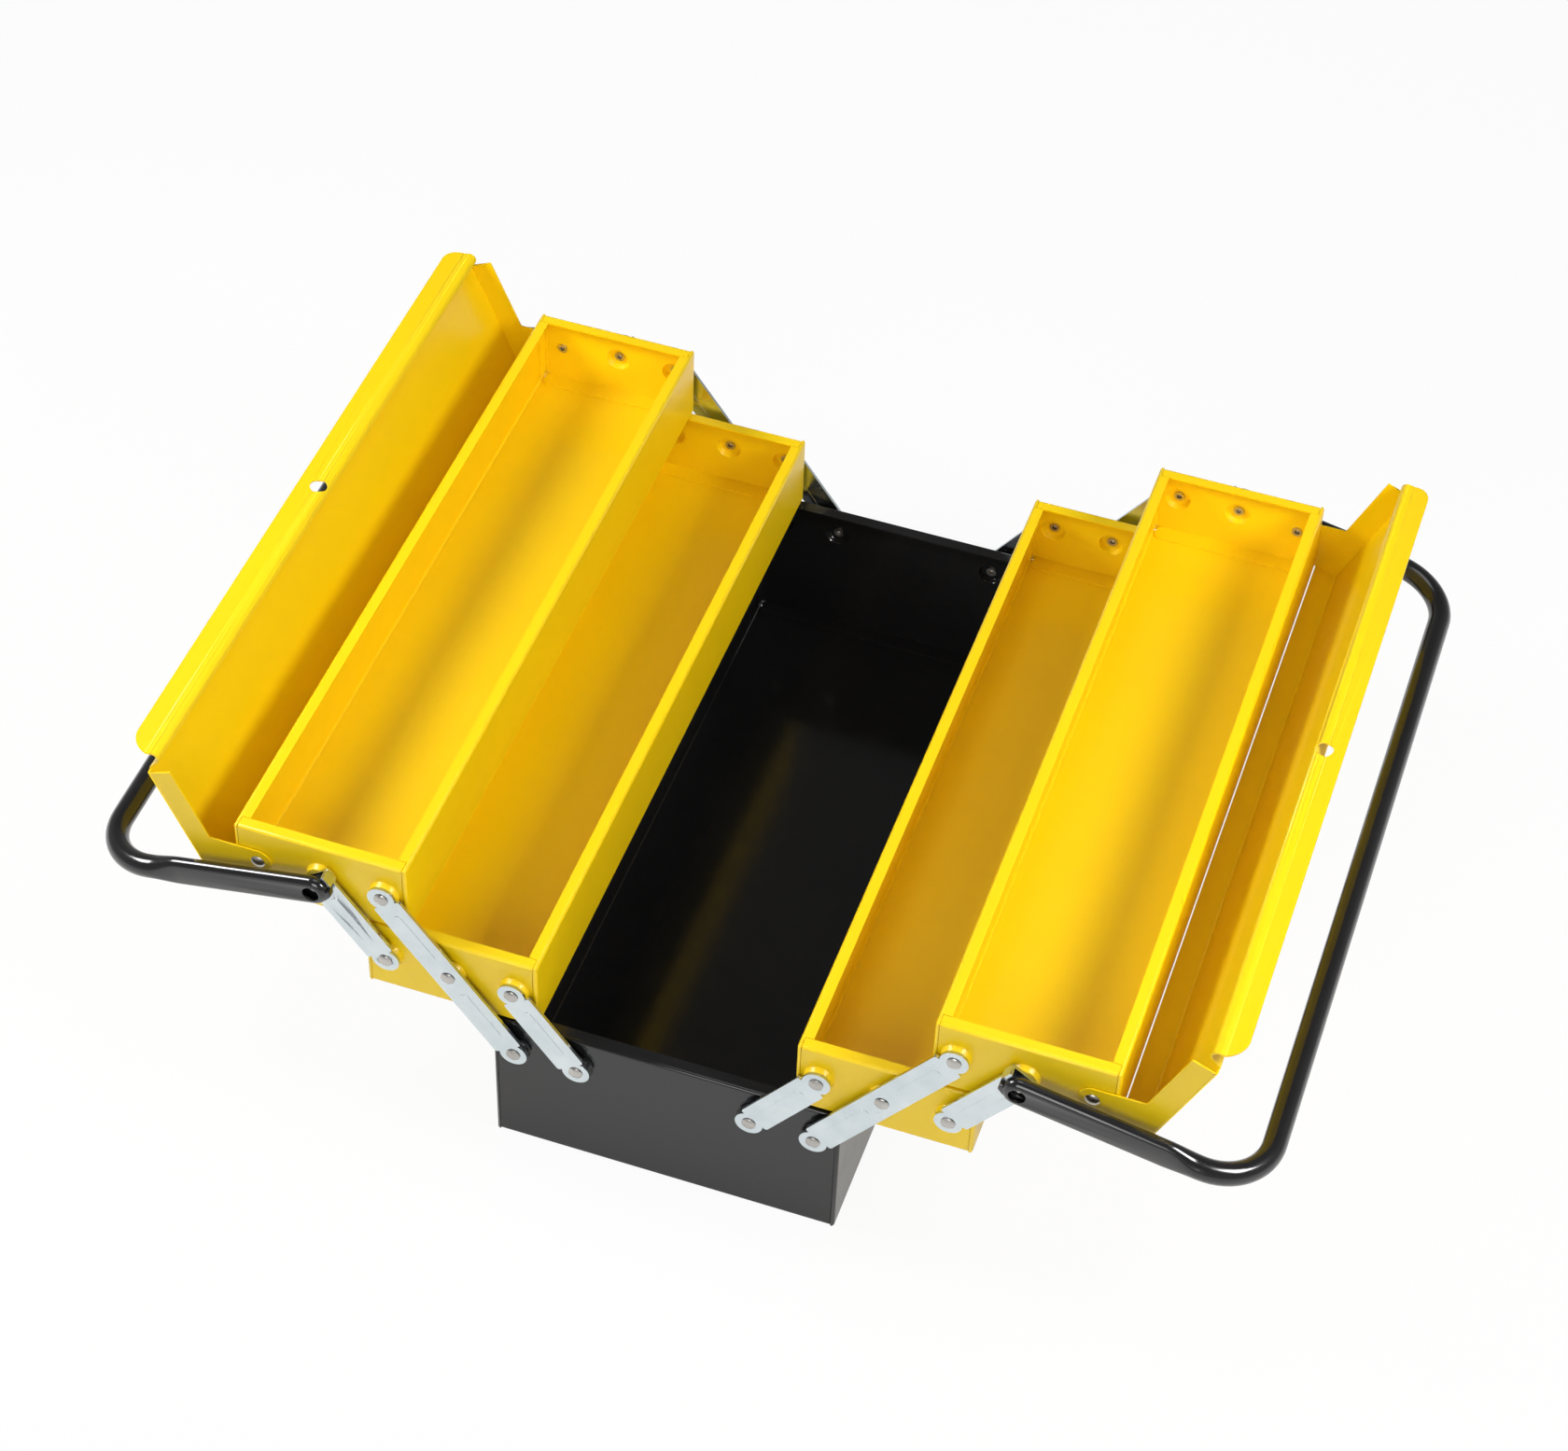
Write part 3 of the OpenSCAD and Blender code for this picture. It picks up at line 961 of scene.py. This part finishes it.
    def flatten(self, piece: bpy.types.Object, start: float) -> float:
        """Pulls the tube on past its bend and presses it step by step from round to flat.

        Args:
            piece: the tube, in edit mode, with its last ring selected.
            start: that ring's distance from the pivot.

        Returns:
            The distance of the new last ring from the pivot.
        """
        narrow, wide = self.flat
        half_high, half_thick = self.arm
        radius, shift, at = self.tube, 0.0, start
        for step in range(self.press_steps + 1):
            share = step / self.press_steps
            ease = share * share * (3 - 2 * share)
            new_at = wide + (narrow - wide) * share
            new_radius = self.tube + (half_thick - self.tube) * ease
            new_shift = (half_high - half_thick) * ease
            pull((new_at - at, 0, 0))
            self.press(piece, new_at, new_radius / radius, shift, new_shift)
            radius, shift, at = new_radius, new_shift, new_at
        return at

    def press(
        self, piece: bpy.types.Object, at: float, factor: float, shift: float, new_shift: float
    ) -> None:
        """Presses the last ring from round towards the arm's flat section.

        Args:
            piece: the tube, in edit mode.
            at: the ring's distance from the pivot.
            factor: new radius of its rounded edges, as a share of the old one.
            shift: height of the middle of the upper edge's rounding before.
            new_shift: its height after.
        """
        where = at * MM
        for sign in (1, -1):
            pick(piece, lambda co: abs(co.x - where) < FINE and sign * co.z > FINE)
            middle = (where, -self.arm_y * MM, sign * shift * MM)
            bpy.ops.transform.resize(value=(1, factor, factor), center_override=middle)
            bpy.ops.transform.translate(value=(0, 0, sign * (new_shift - shift) * MM))
        pick(piece, lambda co: abs(co.x - where) < FINE and abs(co.z) <= FINE)
        middle = (where, -self.arm_y * MM, 0)
        bpy.ops.transform.resize(value=(1, factor, 1), center_override=middle)
        pick(piece, lambda co: abs(co.x - where) < FINE)

    def heel(self, end: End) -> bpy.types.Object:
        """Cuts the heel that rests against the outer link's tab.

        Args:
            end: the end of the case.

        Returns:
            The heel, from a flat plate.
        """
        reach, back = self.heel_reach, self.heel_back
        high = math.sqrt(reach * reach - back * back)
        first = 90 + math.degrees(math.asin(back / reach))
        last = (self.arm[0] - self.heel_inset, first + self.heel_spread)
        corners = [(-back, 0.0), (-back, high)]
        for radius, angle in ((reach, first + self.heel_turn), last):
            turn = math.radians(angle)
            corners.append((radius * math.cos(turn), radius * math.sin(turn)))
        deselect()
        bpy.ops.mesh.primitive_circle_add(vertices=4, radius=MM, fill_type="NGON")
        plate = bpy.context.object
        turned = math.radians(90 - self.lean + self.slope)
        for vertex, (x, z) in zip(plate.data.vertices, corners):
            vertex.co.x = MM * (x * math.cos(turned) - z * math.sin(turned))
            vertex.co.z = MM * (x * math.sin(turned) + z * math.cos(turned))
            vertex.co.y = MM * (end.value * self.arm_y - self.heel_thick / 2)
        edit_all(plate)
        pull((0, self.heel_thick, 0))
        face_outwards()
        bpy.ops.mesh.bevel(offset=self.heel_round * MM, segments=3)
        deselect()
        return plate

    def drill(self, radius: float, y: float, depth: float) -> bpy.types.Object:
        """Makes a round cutter for a hole on the pivot.

        Args:
            radius: its radius.
            y: middle of the cut along the case's length.
            depth: its depth.

        Returns:
            The cutter.
        """
        deselect()
        bpy.ops.mesh.primitive_cylinder_add(
            vertices=48,
            radius=radius * MM,
            depth=depth * MM,
            location=(0, y * MM, 0),
            rotation=(math.pi / 2, 0, 0),
        )
        return bpy.context.object


@dataclass(frozen=True)
class Lamp:
    """A square soft lamp.

    Attributes:
        name: its name.
        place: where it stands, in metres.
        size: its width, in metres.
        power: its power, in watts.
    """

    name: str
    place: Point
    size: float
    power: float

    def build(self, target: Point) -> None:
        """Sets the lamp up, out of the camera's sight.

        Args:
            target: the point that it is aimed at.
        """
        bpy.ops.object.light_add(type="AREA", location=self.place)
        lamp = bpy.context.object
        lamp.name = f"lamp_{self.name}"
        lamp.data.shape = "SQUARE"
        lamp.data.size = self.size
        lamp.data.energy = self.power
        lamp.visible_camera = False
        aim = Vector(target) - Vector(self.place)
        lamp.rotation_euler = aim.to_track_quat("-Z", "Y").to_euler()
        LOG.info("%s: %.1f W", lamp.name, self.power)


@dataclass
class Studio:
    """White floor and soft lamps: one overhead, one near each side and one at the front.

    Attributes:
        floor_size: width of the floor, in metres.
        floor_colour: its colour.
        grain: pattern of its faint mottle.
        grain_mix: range of the mottle's mix of dark and pale.
        grain_dark: how dark the mottle is, as a share of the floor's colour.
        shadow: how much of the floor's own light and shade the camera sees on its white.
        mirrored: how much of the floor's white shows in the gloss of the paint.
        horizon: strength of the light from all round, level with the ground.
        zenith: its strength straight above.
        high: how far up the light from all round still changes, from 0 to 1.
        target: the point that the lamps are aimed at, in metres.
        lamps: the lamps.
    """

    floor_size: float = 30.0
    floor_colour: Colour = (0.8, 0.8, 0.8)
    grain: Grain = Grain(900, 2)
    grain_mix: Span = (0.75, 0.85)
    grain_dark: float = 0.985
    shadow: float = 0.06
    mirrored: float = 0.5
    horizon: float = 0.31
    zenith: float = 0.1
    high: float = 0.9
    target: Point = (0, 0, 0.12)
    lamps: tuple[Lamp, ...] = (
        Lamp("top", (0.0, 0.3, 2.3), 1.0, 6.0),
        Lamp("left", (-0.85, -0.22, 0.9), 0.36, 8.8),
        Lamp("right", (0.85, -0.18, 0.9), 0.36, 8.8),
        Lamp("front", (0.1, -2.3, 1.4), 1.2, 20.0),
    )

    def build(self) -> None:
        """Makes the floor, the world and the lamps."""
        deselect()
        bpy.ops.mesh.primitive_plane_add(size=self.floor_size)
        floor = bpy.context.object
        floor.name = "floor"
        floor.data.materials.append(self.floor_material())
        self.light_world()
        for lamp in self.lamps:
            lamp.build(self.target)

    def floor_material(self) -> bpy.types.Material:
        """A pale floor that shows white to the camera and in reflections, but keeps shadows.

        Returns:
            The material.
        """
        g = Graph("floor")
        grain = g.between(g.noise(self.grain), *self.grain_mix)
        low = tuple(self.grain_dark * c for c in self.floor_colour)
        paint = g.node("ShaderNodeBsdfDiffuse", {"Color": g.blend(grain, low, self.floor_colour)})
        white = g.node("ShaderNodeEmission", {"Color": (1, 1, 1, 1), "Strength": 1.0})
        path = g.node("ShaderNodeLightPath")
        glossy = {0: path.outputs["Is Glossy Ray"], 1: self.mirrored}
        gloss = g.node("ShaderNodeMath", glossy, operation="MULTIPLY")
        camera = {0: path.outputs["Is Camera Ray"], 1: 1.0 - self.shadow}
        seen = g.node("ShaderNodeMath", camera, operation="MULTIPLY")
        either = {0: seen.outputs[0], 1: gloss.outputs[0]}
        share = g.node("ShaderNodeMath", either, operation="MAXIMUM")
        both = {0: share.outputs[0], 1: paint.outputs[0], 2: white.outputs[0]}
        mixed = g.node("ShaderNodeMixShader", both)
        g.node("ShaderNodeOutputMaterial", {"Surface": mixed.outputs[0]})
        return g.material

    def light_world(self) -> None:
        """Even white light from all round, seen as white by the camera."""
        world = bpy.data.worlds.new("studio")
        bpy.context.scene.world = world
        world.use_nodes = True
        tree = world.node_tree
        back = tree.nodes["Background"]
        place = tree.nodes.new("ShaderNodeTexCoord")
        height = tree.nodes.new("ShaderNodeSeparateXYZ")
        tree.links.new(place.outputs["Generated"], height.inputs[0])
        fall = tree.nodes.new("ShaderNodeMapRange")
        fall.interpolation_type = "SMOOTHSTEP"
        tree.links.new(height.outputs["Z"], fall.inputs["Value"])
        for name, value in (("From Max", self.high), ("To Min", self.horizon), ("To Max", self.zenith)):
            fall.inputs[name].default_value = value
        path = tree.nodes.new("ShaderNodeLightPath")
        seen = tree.nodes.new("ShaderNodeMix")
        unseen_light, seen_light = seen.inputs[2], seen.inputs[3]
        tree.links.new(path.outputs["Is Camera Ray"], seen.inputs["Factor"])
        tree.links.new(fall.outputs[0], unseen_light)
        seen_light.default_value = 1.0
        tree.links.new(seen.outputs[0], back.inputs["Strength"])
        back.inputs["Color"].default_value = (1, 1, 1, 1)


@dataclass
class Camera:
    """The photograph's camera, from the fit of the case's edges.

    Attributes:
        place: where it stands, in metres.
        aim: the point at the middle of the picture.
        roll: turn about the line of sight, in degrees, anticlockwise positive.
        lens: focal length in millimetres.
        width: width of the picture on the sensor, in millimetres.
        near: distance from which it sees, in metres.
    """

    place: Point = (0.41871, -1.38712, 1.66981)
    aim: Point = (-0.0216, 0.03591, 0.1)
    roll: float = 2.392
    lens: float = 84.75
    width: float = 36.0
    near: float = 0.05

    def build(self) -> None:
        """Makes the camera and lets the scene use it."""
        deselect()
        bpy.ops.object.camera_add(location=self.place)
        camera = bpy.context.object
        line = Vector(self.aim) - Vector(self.place)
        sight = line.to_track_quat("-Z", "Y").to_matrix().to_4x4()
        turn = Matrix.Rotation(math.radians(self.roll), 4, "Z")
        camera.matrix_world = Matrix.Translation(self.place) @ sight @ turn
        camera.data.lens = self.lens
        camera.data.sensor_width = self.width
        camera.data.clip_start = self.near
        bpy.context.scene.camera = camera


def main(frame: dict) -> None:
    """Builds the looks in order.
    """
    logging.basicConfig(level=logging.INFO, format="%(message)s")
    Camera().build()
    finishes = Finishes(frame)
    Links().build(finishes.made[ZINC.name])
    Handles().build(finishes.made[GLOSS.name])
    Studio().build()
    bpy.context.scene.view_settings.view_transform = "Standard"


if __name__ == "__main__":
    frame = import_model()
    main(frame)
